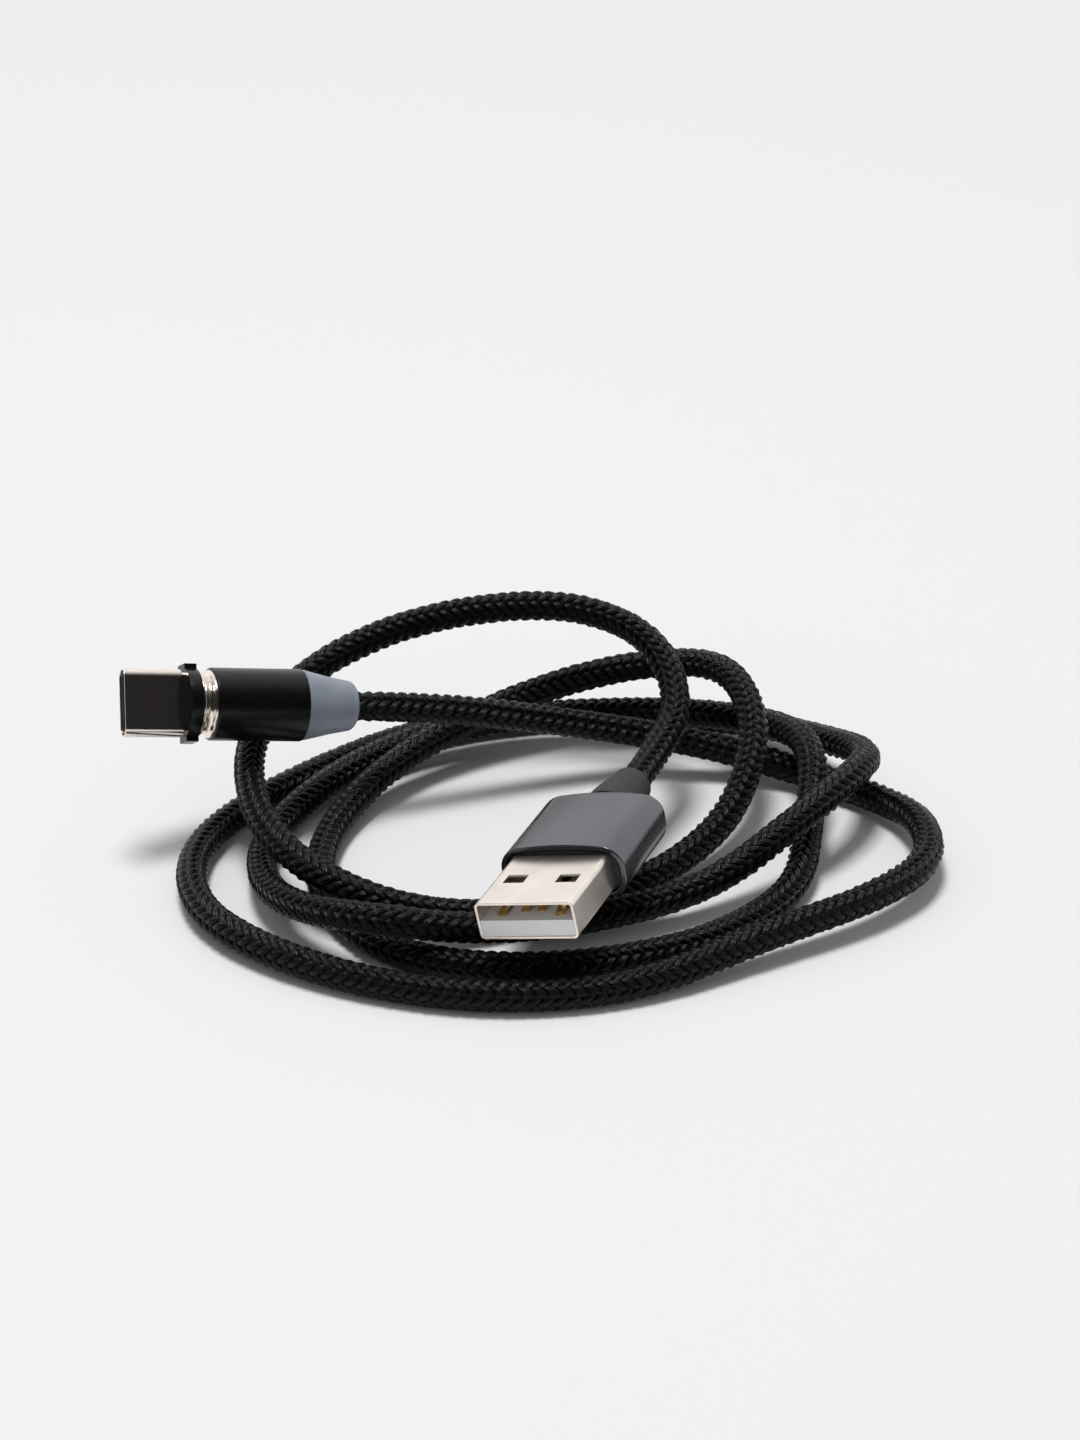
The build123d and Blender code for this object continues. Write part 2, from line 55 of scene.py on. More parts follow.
import bmesh
import bpy
from bpy.props import FloatProperty, FloatVectorProperty, IntProperty, PointerProperty
from mathutils import Matrix, Quaternion, Vector

MM = 0.001

# ---------------------------------------------------------------- the cord's route
CORD_RADIUS = 1.9 * MM
COIL_SHIFT = -0.58 * MM
# Millimetres, from the boot to the cone. The third number is the height above a cord that lies flat.
ROUTE = [
    (12.0, -1.8, 8.2), (15.2, 6.7, 8.2), (19.0, 15.5, 11.0), (16.0, 25.5, 15.5), (7.0, 30.0, 18.0),
    (-4.5, 30.0, 18.0), (-17.0, 28.0, 16.0), (-28.0, 22.0, 12.5), (-34.0, 12.5, 8.5), (-33.5, 1.0, 6.5),
    (-30.0, -9.5, 5.5), (-22.5, -18.5, 4.5), (-12.0, -22.0, 2.5), (0.0, -18.5, 0.5), (12.5, -11.5, 0.0),
    (23.0, -1.0, 2.0), (27.5, 9.5, 6.0), (28.0, 19.0, 9.5), (24.5, 28.0, 11.0), (15.5, 32.5, 9.0),
    (5.0, 31.5, 7.0), (-6.5, 26.5, 4.5), (-17.5, 17.0, 2.0), (-24.0, 4.5, 0.0), (-25.0, -8.5, 0.0),
    (-21.5, -19.5, 0.0), (-13.5, -28.0, 0.0), (-1.5, -30.5, 0.0), (11.0, -28.5, 0.0), (23.0, -22.5, 0.0),
    (32.0, -11.5, 0.0), (34.0, 1.5, 2.5), (35.5, 14.0, 6.0), (31.5, 24.0, 4.5), (21.0, 30.5, 3.0),
    (9.0, 32.5, 2.0), (-5.5, 30.5, 2.0), (-18.5, 22.5, 1.5), (-27.5, 11.5, 0.5), (-32.0, -1.0, 0.5),
    (-31.0, -13.5, 1.5), (-26.0, -22.5, 3.5), (-17.0, -28.5, 5.5), (-6.5, -26.5, 3.0), (5.5, -22.0, 1.5),
    (21.0, -14.5, 1.5), (32.0, -5.5, 6.0), (39.5, 4.0, 7.5), (42.5, 14.5, 5.0), (37.5, 24.5, 2.0),
    (29.0, 32.5, 0.5), (16.0, 36.5, 0.0), (1.5, 36.0, 0.0), (-14.0, 31.0, 0.0), (-26.5, 20.0, 0.0),
    (-36.5, 7.5, 0.0), (-40.5, -4.5, 0.5), (-38.5, -17.0, 0.5), (-30.5, -26.5, 0.5), (-18.0, -33.5, 0.0),
    (-3.5, -37.0, 0.0), (12.5, -34.5, 0.0), (27.5, -25.0, 1.5), (40.5, -17.0, 2.0), (48.0, -8.0, 2.0),
    (48.0, 3.5, 1.5), (43.0, 12.5, 0.0), (33.0, 19.5, 0.5), (21.5, 22.5, 2.5), (10.5, 22.5, 4.5),
    (0.0, 19.5, 7.5), (-11.43, 15.63, 10.78), (-22.52, 11.57, 12.91),
]
ROUTE_POINTS = [Vector((x * MM + COIL_SHIFT, y * MM, z * MM + CORD_RADIUS)) for x, y, z in ROUTE]
CORD_SPANS = ["cord_span_%d" % n for n in range(1, 7)]

# ---------------------------------------------------------------- the two plugs' own frames
CORD_GRIP = 1.4 * MM    # how far the cord's ends sit inside the boot and the cone
PLUG_ROLL = 11.8        # degrees from level
TIP_TILT = 32.0         # degrees from upright


def local_frame(end, before, lean):
    """Matrix with z along the plug, x its wide direction turned by lean degrees from level."""
    forward = (end - before).normalized()
    level = forward.cross(Vector((0, 0, 1))).normalized()
    side = Quaternion(forward, radians(lean)) @ level
    up = forward.cross(side)
    made = Matrix((side, up, forward)).transposed().to_4x4()
    made.translation = end - forward * CORD_GRIP
    return made


PLUG_FRAME = local_frame(ROUTE_POINTS[0], ROUTE_POINTS[1], 180 + PLUG_ROLL)
HEAD_FRAME = local_frame(ROUTE_POINTS[-1], ROUTE_POINTS[-2], 90 + TIP_TILT)


# ---------------------------------------------------------------- settings
class CordSettings(bpy.types.PropertyGroup):
    carriers: IntProperty(name="Carriers", description="Yarns in each winding direction",
                          default=8, min=4, max=12)
    lay_length: FloatProperty(name="Lay length", description="Cord length in which a yarn goes round once",
                              default=11.6 * MM, unit="LENGTH")
    yarn_width: FloatProperty(name="Yarn width", description="Width of one flat yarn",
                              default=0.95 * MM, unit="LENGTH")
    yarn_thickness: FloatProperty(name="Yarn thickness", description="Thickness of one flat yarn",
                                  default=0.64 * MM, unit="LENGTH")
    core_radius: FloatProperty(name="Core radius", description="Radius of the jacket under the yarns",
                               default=1.42 * MM, unit="LENGTH")
    bed_radius: FloatProperty(name="Bed radius", description="How deep a yarn dips where it passes under",
                              default=1.04 * MM, unit="LENGTH")
    colour: FloatVectorProperty(name="Nylon", description="Colour of the nylon yarns", subtype="COLOR",
                                size=3, default=(0.0020, 0.0020, 0.0022), min=0, max=1)


class PlugSettings(bpy.types.PropertyGroup):
    shell_width: FloatProperty(name="Shell width", description="Outer width of the metal shell",
                               default=12.0 * MM, unit="LENGTH")
    shell_height: FloatProperty(name="Shell height", description="Outer height of the metal shell",
                                default=4.5 * MM, unit="LENGTH")
    shell_wall: FloatProperty(name="Shell wall", description="Sheet thickness of the metal shell",
                              default=0.3 * MM, unit="LENGTH")
    housing_width: FloatProperty(name="Housing width", description="Outer width of the housing",
                                 default=15.3 * MM, unit="LENGTH")
    housing_height: FloatProperty(name="Housing height", description="Height of the housing at its middle",
                                  default=7.1 * MM, unit="LENGTH")
    housing_crown: FloatProperty(name="Housing crown", description="Rise of a broad face to its middle",
                                 default=0.7 * MM, unit="LENGTH")
    lip_wall: FloatProperty(name="Lip wall", description="Wall of the housing at its front lip",
                            default=0.6 * MM, unit="LENGTH")
    contact_width: FloatProperty(name="Contact width", description="Width of one sprung contact",
                                 default=1.0 * MM, unit="LENGTH")
    housing_colour: FloatVectorProperty(name="Housing", description="Colour of the anodised housing",
                                        subtype="COLOR", size=3, default=(0.140, 0.140, 0.155),
                                        min=0, max=1)
    boot_colour: FloatVectorProperty(name="Boot", description="Colour of the rubber boot", subtype="COLOR",
                                     size=3, default=(0.035, 0.035, 0.038), min=0, max=1)
    nickel_colour: FloatVectorProperty(name="Nickel", description="Colour of the nickel plate",
                                       subtype="COLOR", size=3, default=(0.90, 0.82, 0.75), min=0, max=1)
    tongue_colour: FloatVectorProperty(name="Tongue", description="Colour of the plastic tongue",
                                       subtype="COLOR", size=3, default=(0.86, 0.86, 0.86), min=0, max=1)


class HeadSettings(bpy.types.PropertyGroup):
    sleeve_diameter: FloatProperty(name="Sleeve diameter", description="Outer diameter of the gloss sleeve",
                                   default=8.8 * MM, unit="LENGTH")
    sleeve_wall: FloatProperty(name="Sleeve wall", description="Wall of the gloss sleeve",
                               default=0.4 * MM, unit="LENGTH")
    plate_diameter: FloatProperty(name="Plate diameter", description="Diameter of the tip's black plate",
                                  default=8.5 * MM, unit="LENGTH")
    ear_reach: FloatProperty(name="Ear reach", description="From the tip's axis to the end of an ear",
                             default=4.7 * MM, unit="LENGTH")
    usb_c_width: FloatProperty(name="USB-C width", description="Outer width of the USB-C shell",
                               default=8.25 * MM, unit="LENGTH")
    usb_c_height: FloatProperty(name="USB-C height", description="Outer height of the USB-C shell",
                                default=2.4 * MM, unit="LENGTH")
    usb_c_wall: FloatProperty(name="USB-C wall", description="Sheet thickness of the USB-C shell",
                              default=0.2 * MM, unit="LENGTH")
    sleeve_colour: FloatVectorProperty(name="Sleeve", description="Colour of the gloss sleeve",
                                       subtype="COLOR", size=3, default=(0.003, 0.003, 0.0032),
                                       min=0, max=1)
    cone_colour: FloatVectorProperty(name="Light cone", description="Colour of the frosted cone",
                                     subtype="COLOR", size=3, default=(0.235, 0.262, 0.312), min=0, max=1)


class StageSettings(bpy.types.PropertyGroup):
    floor_colour: FloatVectorProperty(name="Floor", description="Colour of the floor", subtype="COLOR",
                                      size=3, default=(0.86, 0.86, 0.86), min=0, max=1)
    lamp_energy: FloatProperty(name="Lamp power", description="Watts of the large overhead lamp",
                               default=18.0, min=0)
    fill_level: FloatProperty(name="Fill level", description="Even light of the room on rough surfaces",
                              default=0.36, min=0)
    front_level: FloatProperty(name="Front level", description="Brightness of the room behind the camera",
                               default=0.015, min=0)
    back_level: FloatProperty(name="Back level", description="Brightness of the white wall behind the cable",
                              default=1.0, min=0)
    backdrop_level: FloatProperty(name="Backdrop level", description="Brightness of the distant backdrop",
                                  default=0.87, min=0)


def settings():
    scene = bpy.context.scene
    return scene.cable_cord, scene.cable_plug, scene.cable_head, scene.cable_stage


# ---------------------------------------------------------------- materials
class Nodes:
    """Adds and joins the nodes of one tree. A value is a number or another node's output."""

    def __init__(self, tree):
        self.tree = tree

    def node(self, kind, **values):
        made = self.tree.nodes.new(kind)
        for name, value in values.items():
            setattr(made, name, value)
        return made

    def link(self, start, end):
        self.tree.links.new(start, end)

    def feed(self, socket, value):
        if isinstance(value, bpy.types.NodeSocket):
            self.link(value, socket)
        else:
            socket.default_value = value

    def math(self, operation, *values):
        made = self.node("ShaderNodeMath", operation=operation)
        for socket, value in zip(made.inputs, values):
            self.feed(socket, value)
        return made.outputs[0]

    def split(self, vector):
        made = self.node("ShaderNodeSeparateXYZ")
        self.link(vector, made.inputs["Vector"])
        return made.outputs

    def fade(self, value, start, stop, low=0.0, high=1.0):
        """Goes smoothly from low to high while the value goes from start to stop."""
        made = self.node("ShaderNodeMapRange", interpolation_type="SMOOTHSTEP")
        for name, setting in (("Value", value), ("From Min", start), ("From Max", stop), ("To Min", low),
                              ("To Max", high)):
            self.feed(made.inputs[name], setting)
        return made.outputs["Result"]

    def mix(self, share, low, high):
        made = self.node("ShaderNodeMix")
        self.feed(made.inputs[0], share)
        self.feed(made.inputs[2], low)
        self.feed(made.inputs[3], high)
        return made.outputs[0]


class Shader(Nodes):
    """A material whose nodes lead into one Principled surface."""

    def __init__(self, name, colour, roughness, metallic=0.0, **sockets):
        self.material = bpy.data.materials.new(name)
        self.material.use_nodes = True
        super().__init__(self.material.node_tree)
        self.surface = self.tree.nodes["Principled BSDF"]
        self.set("Base Color", (*colour, 1))
        self.set("Roughness", roughness)
        self.set("Metallic", metallic)
        for socket, value in sockets.items():
            self.set(socket.replace("_", " "), value)
        self.material.diffuse_color = (*colour, 1)

    def set(self, socket, value):
        self.feed(self.surface.inputs[socket], value)

    def coordinates(self):
        return self.node("ShaderNodeTexCoord").outputs["Object"]

    def noise(self, vector, scale, detail, roughness=0.5):
        made = self.node("ShaderNodeTexNoise")
        self.feed(made.inputs["Scale"], scale)
        self.feed(made.inputs["Detail"], detail)
        self.feed(made.inputs["Roughness"], roughness)
        self.link(vector, made.inputs["Vector"])
        return made.outputs["Fac"]

    def ramp(self, value, low, high, start=0.3, stop=0.7):
        """Maps a 0 to 1 value to colours or greys between low and high."""
        made = self.node("ShaderNodeValToRGB")
        first, last = made.color_ramp.elements
        first.position, last.position = start, stop
        first.color = (*low, 1) if isinstance(low, tuple) else (low, low, low, 1)
        last.color = (*high, 1) if isinstance(high, tuple) else (high, high, high, 1)
        self.link(value, made.inputs["Fac"])
        return made.outputs["Color"]

    def bump(self, height, depth, strength=1.0):
        made = self.node("ShaderNodeBump")
        self.feed(made.inputs["Distance"], depth)
        self.feed(made.inputs["Strength"], strength)
        self.link(height, made.inputs["Height"])
        self.set("Normal", made.outputs["Normal"])


def tinted(colour, factor):
    return tuple(min(1.0, c * factor) for c in colour)


def grained(name, colour, roughness, grain, depth, spread=0.12, **sockets):
    """Plastic or rubber with a fine grain, a slight colour drift and an uneven gloss."""
    made = Shader(name, colour, roughness, **sockets)
    place = made.coordinates()
    fine = made.noise(place, grain, 3.0, 0.6)
    broad = made.noise(place, grain * 0.08, 2.0)
    made.set("Base Color", made.ramp(broad, tinted(colour, 1 - spread), tinted(colour, 1 + spread)))
    made.set("Roughness", made.ramp(fine, roughness - 0.06, roughness + 0.06))
    made.bump(fine, depth)
    return made.material


FILAMENTS = 7.0     # ridges across one yarn
FILAMENT_WANDER = 5.0


def nylon_yarn(colour):
    """Bundles of fine filaments that run along each yarn, with glints on their crowns. The colour is painted
    lighter on each filament's crown and darker in the grooves between them: a painted highlight and painted
    shade.
    """
    made = Shader("black_nylon_yarn", colour, 0.30, Specular_IOR_Level=0.20)
    uv = made.node("ShaderNodeUVMap", uv_map="yarn")
    across = made.math("MULTIPLY", made.split(uv.outputs["UV"])["X"], FILAMENTS * tau)
    wander = made.noise(made.coordinates(), 900.0, 2.0)
    wave = made.math("SINE", made.math("MULTIPLY_ADD", wander, FILAMENT_WANDER, across))
    ridges = made.math("MULTIPLY_ADD", wave, 0.5, 0.5)
    made.bump(ridges, 0.045 * MM, 0.9)
    # painted highlight and shade: the base colour is lighter on the filament crowns and darker in the
    # grooves between filaments
    made.set("Base Color", made.ramp(ridges, tinted(colour, 0.45), tinted(colour, 1.6), 0.1, 0.9))
    made.set("Roughness", made.ramp(wander, 0.22, 0.36))
    return made.material


def anodised(colour):
    """Bead-blasted and anodised aluminium: a satin metal with a very fine sparkle."""
    made = Shader("anodised_grey", colour, 0.24, metallic=1.0)
    place = made.coordinates()
    bead = made.noise(place, 5200.0, 2.0, 0.7)
    drift = made.noise(place, 140.0, 2.0)
    made.set("Base Color", made.ramp(drift, tinted(colour, 0.94), tinted(colour, 1.06)))
    made.set("Roughness", made.ramp(bead, 0.20, 0.28))
    made.bump(bead, 0.006 * MM, 0.6)
    return made.material


def plated(name, colour, roughness, depth=0.0015 * MM, uneven=(0.8, 1.3)):
    """Plated metal with a faint grain and slight stains."""
    made = Shader(name, colour, roughness, metallic=1.0)
    place = made.coordinates()
    fine = made.noise(place, 2400.0, 3.0, 0.6)
    stains = made.noise(place, 260.0, 3.0)
    made.set("Base Color", made.ramp(stains, tinted(colour, 0.93), tinted(colour, 1.04)))
    made.set("Roughness", made.ramp(fine, roughness * uneven[0], roughness * uneven[1]))
    made.bump(fine, depth, 0.5)
    return made.material


def frosted(colour):
    """Milky plastic that lets light in."""
    made = Shader("frosted_cone", colour, 0.42, Specular_IOR_Level=0.5, Subsurface_Weight=0.6,
                  Subsurface_Scale=2.0 * MM, Subsurface_Radius=(1.0, 1.0, 1.0), Coat_Weight=0.15,
                  Coat_Roughness=0.3)
    place = made.coordinates()
    haze = made.noise(place, 420.0, 3.0)
    grain = made.noise(place, 3800.0, 2.0)
    made.set("Base Color", made.ramp(haze, tinted(colour, 0.9), tinted(colour, 1.12)))
    made.set("Roughness", made.ramp(grain, 0.34, 0.5))
    made.bump(grain, 0.004 * MM, 0.5)
    return made.material


def make_materials():
    """One material for each slot of the record, and the shell's satin plate."""
    cord, plug, head, _ = settings()
    nickel = tuple(plug.nickel_colour)
    return {
        "braid_black": nylon_yarn(tuple(cord.colour)),
        "jacket_rubber": grained("jacket_rubber", (0.006, 0.006, 0.006), 0.6, 1500.0, 0.01 * MM),
        "nickel": plated("nickel_plate", nickel, 0.15),
        "satin_nickel": plated("satin_nickel", nickel, 0.30, 0.0003 * MM, (0.96, 1.06)),
        "anodised_grey": anodised(tuple(plug.housing_colour)),
        "boot_rubber": grained("boot_rubber", tuple(plug.boot_colour), 0.62, 2600.0, 0.012 * MM,
                               Specular_IOR_Level=0.35),
        "grey_plastic": grained("tongue_plastic", tuple(plug.tongue_colour), 0.45, 1800.0, 0.004 * MM, 0.04),
        "black_plastic": grained("black_plastic", (0.008, 0.008, 0.008), 0.5, 1800.0, 0.008 * MM),
        "black_gloss": grained("gloss_black", tuple(head.sleeve_colour), 0.30, 2200.0, 0.002 * MM,
                               Specular_IOR_Level=0.3),
        "frosted_plastic": frosted(tuple(head.cone_colour)),
        "gold": plated("gold_plate", (0.86, 0.61, 0.26), 0.22),
        "copper": plated("crimp_copper", (0.72, 0.42, 0.26), 0.35),
        "spring_steel": plated("spring_wire", (0.6, 0.6, 0.6), 0.3),
        "board_green": grained("board_mask", (0.02, 0.14, 0.05), 0.4, 900.0, 0.004 * MM),
        "led_white": grained("led_body", (0.8, 0.8, 0.74), 0.4, 1500.0, 0.002 * MM, 0.03),
        "wire_red": grained("wire_red", (0.42, 0.02, 0.02), 0.5, 1500.0, 0.004 * MM),
        "wire_white": grained("wire_white", (0.75, 0.75, 0.75), 0.5, 1500.0, 0.004 * MM, 0.05),
        "wire_green": grained("wire_green", (0.02, 0.28, 0.06), 0.5, 1500.0, 0.004 * MM),
        "wire_black": grained("wire_black", (0.012, 0.012, 0.012), 0.5, 1500.0, 0.004 * MM),
    }


MATERIALS = {}


def dress(piece, slot_name, material=None):
    """Gives a piece its material: the given one, or else the material of its slot in the record."""
    piece.data.materials.clear()
    piece.data.materials.append(material or MATERIALS[slot_name])


# ---------------------------------------------------------------- cord
ROUTE_STEPS = 27        # points of the smooth line between two points of the route
CORE_STEPS = 12
YARN_PROFILE = [(-1.0, -0.10), (-0.82, 0.42), (-0.42, 0.86), (0.0, 1.0), (0.42, 0.86), (0.82, 0.42),
                (1.0, -0.10), (0.0, -0.8)]
YARN_CLEARANCE = 0.01 * MM
YARN_WRAP = 0.9             # how far a yarn's edges bend round the cord
YARN_BED_SHARE = 0.55       # share of the half thickness that lies above the bed where a yarn dips
OVER_SPAN = 1.5             # above 1, a yarn stays level on top and below for a while
WEAVE_TWIST = tau / 0.42    # slow turn of the whole weave along the cord, radians per metre
LOOSENESS, LOOSENESS_RATE = 0.02 * MM, 830.0
SPREAD, SPREAD_RATE = 0.04, 1270.0
CROWN_SPREAD = 0.05


def route_curve(name):
    """The cord's smooth line: an open spline whose control points are the route's points."""
    curve = bpy.data.curves.new(name, "CURVE")
    curve.dimensions = "3D"
    spline = curve.splines.new("NURBS")
    spline.points.add(len(ROUTE_POINTS) - 1)
    for point, place in zip(spline.points, ROUTE_POINTS):
        point.co = (*place, 1)
    spline.order_u = 3
    spline.use_endpoint_u = True
    spline.resolution_u = ROUTE_STEPS
    curve.resolution_u = ROUTE_STEPS
    return curve


def route_line():
    """Points along the smooth line, as Blender evaluates it."""
    curve = route_curve("cord_line")
    guide = bpy.data.objects.new("cord_line", curve)
    bpy.context.scene.collection.objects.link(guide)
    bpy.context.view_layer.update()
    mesh = bpy.data.meshes.new_from_object(guide.evaluated_get(bpy.context.evaluated_depsgraph_get()))
    line = [vertex.co.copy() for vertex in mesh.vertices]
    bpy.data.objects.remove(guide)
    bpy.data.curves.remove(curve)
    bpy.data.meshes.remove(mesh)
    clean = [line[0]]
    for point in line[1:]:
        if (point - clean[-1]).length > 0.02 * MM:
            clean.append(point)
    return clean


def carried_frames(line):
    """Tangent, side and up at each point, carried along with no twist, and the length so far."""
    frames = []
    run = 0.0
    side = None
    for index, point in enumerate(line):
        before = line[max(index - 1, 0)]
        after = line[min(index + 1, len(line) - 1)]
        tangent = (after - before).normalized()
        if side is None:
            side = tangent.cross(Vector((0, 0, 1))).normalized()
        else:
            side = (side - tangent * side.dot(tangent)).normalized()
            run += (point - before).length
        frames.append((point, tangent, side, tangent.cross(side), run))
    return frames


def mesh_piece(name, vertices, faces):
    mesh = bpy.data.meshes.new(name)
    mesh.from_pydata(vertices, [], faces)
    mesh.validate()
    piece = bpy.data.objects.new(name, mesh)
    bpy.context.scene.collection.objects.link(piece)
    return piece


def yarn_rings(frames, index, hand, cord):
    """Rings of one yarn that winds round the cord, over two crossing yarns and under the next two."""
    crossings = 2 * cord.carriers
    half_width = cord.yarn_width / 2
    half_thick = cord.yarn_thickness / 2
    outer = CORD_RADIUS - half_thick - YARN_CLEARANCE
    inner = cord.bed_radius + half_thick * YARN_BED_SHARE
    middle_radius = (outer + inner) / 2
    swing = (outer - inner) / 2
    pitch = tau / cord.lay_length
    rings = []
    for point, tangent, side, up, run in frames:
        own = hand * pitch * run + tau * index / cord.carriers
        angle = own + WEAVE_TWIST * run
        crossing = own * crossings / tau
        over = hand * cos(pi * (crossing - 0.5) / 2) * OVER_SPAN
        over = max(-1.0, min(1.0, over))
        slack = LOOSENESS * sin(run * LOOSENESS_RATE + index * 2.1 + hand)
        radius = middle_radius + swing * over + slack
        outward = side * cos(angle) + up * sin(angle)
        around = up * cos(angle) - side * sin(angle)
        along = (tangent + around * hand * pitch * middle_radius).normalized()
        across = along.cross(outward).normalized()
        flare = 1.0 + CROWN_SPREAD * over + SPREAD * sin(run * SPREAD_RATE + index * 1.7 - hand)
        centre = point + outward * radius
        ring = []
        for u, v in YARN_PROFILE:
            reach = half_width * flare * u
            droop = reach * reach / (2 * middle_radius) * YARN_WRAP
            ring.append(centre + across * reach + outward * (half_thick * v - droop))
        rings.append((ring, run / MM))
    return rings


def add_yarn(vertices, faces, uvs, rings):
    """Joins a yarn's rings and closes its ends. U goes across the yarn, V along it in millimetres."""
    count = len(YARN_PROFILE)
    start = len(vertices)
    for ring, _ in rings:
        vertices.extend(ring)
    for step in range(len(rings) - 1):
        low = start + step * count
        run_a, run_b = rings[step][1], rings[step + 1][1]
        for k in range(count):
            n = (k + 1) % count
            faces.append((low + k, low + count + k, low + count + n, low + n))
            u_a = k / (count - 1)
            u_b = (k + 1) / (count - 1)
            uvs.append(((u_a, run_a), (u_a, run_b), (u_b, run_b), (u_b, run_a)))
    for step, flip in ((0, False), (len(rings) - 1, True)):
        loop = [start + step * count + k for k in range(count)]
        faces.append(tuple(reversed(loop)) if flip else tuple(loop))
        uvs.append(tuple((0.5, 0.0) for _ in range(count)))


def braid_piece(name, frames, indices, hand, cord):
    vertices, faces, uvs = [], [], []
    for index in indices:
        add_yarn(vertices, faces, uvs, yarn_rings(frames, index, hand, cord))
    piece = mesh_piece(name, vertices, faces)
    layer = piece.data.uv_layers.new(name="yarn")
    layer.data.foreach_set("uv", [c for face in uvs for corner in face for c in corner])
    piece.data.polygons.foreach_set("use_smooth", [True] * len(piece.data.polygons))
    dress(piece, "braid_black")
    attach(piece, "cable")
    return piece


class CABLE_OT_cord(bpy.types.Operator):
    """Build the cord: a jacket on the smooth route and sixteen yarns woven over it"""

    bl_idname = "cable.cord"
    bl_label = "Braided cord"

    def execute(self, context):
        cord = context.scene.cable_cord
        core_curve = route_curve("cord_core")
        core_curve.bevel_depth = cord.core_radius
        core_curve.bevel_resolution = 3
        core_curve.use_fill_caps = True
        core_curve.splines[0].resolution_u = CORE_STEPS
        core = bpy.data.objects.new("cord_core", core_curve)
        context.scene.collection.objects.link(core)
        dress(core, "jacket_rubber")
        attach(core, "cable")
        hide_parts(*CORD_SPANS)
        frames = carried_frames(route_line())
        for hand, hand_name in ((1, "right"), (-1, "left")):
            for first, half_name in ((0, "even"), (1, "odd")):
                name = "braid_%s_%s" % (hand_name, half_name)
                braid_piece(name, frames, range(first, cord.carriers, 2), hand, cord)
        return {"FINISHED"}


# ---------------------------------------------------------------- modelling helpers, in millimetres
SNAP = 1e-6     # metres within which a point counts as on a cut
NEAR = 0.01     # millimetres within which an edge counts as on a block's side


def mm(*values):
    return tuple(value * MM for value in values)


def begin(name, add, **options):
    """Adds a primitive at the origin with nothing else selected and opens it for editing."""
    bpy.ops.object.select_all(action="DESELECT")
    add(**options)
    piece = bpy.context.object
    piece.name = name
    piece.data.name = name
    bpy.ops.object.mode_set(mode="EDIT")
    bpy.ops.mesh.select_mode(type="FACE")
    bpy.ops.mesh.select_all(action="SELECT")
    return piece


def pick(kind, test):
    """Selects the open mesh's faces, edges or vertices that pass the test, and nothing else."""
    bpy.ops.mesh.select_mode(type=kind)
    bpy.ops.mesh.select_all(action="DESELECT")
    mesh = bmesh.from_edit_mesh(bpy.context.object.data)
    group = {"VERT": mesh.verts, "EDGE": mesh.edges, "FACE": mesh.faces}[kind]
    for item in group:
        if test(item):
            item.select_set(True)
    mesh.select_flush_mode()
    bmesh.update_edit_mesh(bpy.context.object.data)


def remove_faces(test):
    pick("FACE", test)
    bpy.ops.mesh.delete(type="FACE")


def is_end(face):
    return abs(face.normal.z) > 0.9


def middle(edge):
    return (edge.verts[0].co + edge.verts[1].co) / 2


def along_z(edge):
    return abs((edge.verts[1].co - edge.verts[0].co).normalized().z) > 0.99


def slice_at(place, normal):
    bpy.ops.mesh.select_mode(type="FACE")
    bpy.ops.mesh.select_all(action="SELECT")
    bpy.ops.mesh.bisect(plane_co=place, plane_no=normal)


def round_edges(radius, segments):
    bpy.ops.mesh.bevel(offset=radius * MM, segments=segments, profile=0.5, clamp_overlap=True)


def block(name, width, height, rear, front, x=0.0, y=0.0):
    """A box from rear to front in the plug's frame, open for editing."""
    piece = begin(name, bpy.ops.mesh.primitive_cube_add, size=1.0)
    bpy.ops.transform.resize(value=mm(width, height, front - rear), center_override=(0, 0, 0))
    bpy.ops.transform.translate(value=mm(x, y, (front + rear) / 2))
    return piece


def crowned_block(name, width, side_height, crown, corner, corner_segments, rear, front):
    """A box whose broad faces rise to a crown in the middle and whose long edges are round."""
    half = width / 2
    piece = block(name, width, side_height, rear, front)
    cuts = [half * k / 6 for k in range(-4, 5)]
    for x in cuts:
        slice_at(mm(x, 0, 0), (1, 0, 0))
    for x in cuts:
        rise = crown * (1 - (x / half) ** 2)
        for side in (1, -1):
            pick("VERT", lambda v, x=x, side=side: abs(v.co.x - x * MM) < SNAP and v.co.y * side > 0)
            bpy.ops.transform.translate(value=mm(0, side * rise, 0))
    pick("EDGE", lambda edge: along_z(edge) and abs(middle(edge).x) > (half - NEAR) * MM)
    round_edges(corner, corner_segments)
    return piece


def spun(name, profile, steps):
    """A closed profile of radius and z, drawn point by point and spun round z."""
    piece = begin(name, bpy.ops.mesh.primitive_plane_add, size=1.0)
    bpy.ops.mesh.merge(type="CENTER")
    bpy.ops.mesh.select_mode(type="VERT")
    bpy.ops.mesh.select_all(action="SELECT")
    bpy.ops.transform.translate(value=mm(profile[0][0], 0, profile[0][1]))
    for (r0, z0), (r1, z1) in zip(profile, profile[1:]):
        bpy.ops.mesh.extrude_vertices_move(TRANSFORM_OT_translate={"value": mm(r1 - r0, 0, z1 - z0)})
    bpy.ops.mesh.select_all(action="SELECT")
    bpy.ops.mesh.edge_face_add()
    bpy.ops.mesh.select_mode(type="EDGE")
    bpy.ops.mesh.delete(type="ONLY_FACE")
    bpy.ops.mesh.select_all(action="SELECT")
    bpy.ops.mesh.spin(steps=steps, angle=tau, center=(0, 0, 0), axis=(0, 0, 1))
    bpy.ops.mesh.select_all(action="SELECT")
    bpy.ops.mesh.remove_doubles(threshold=0.001 * MM)
    return piece


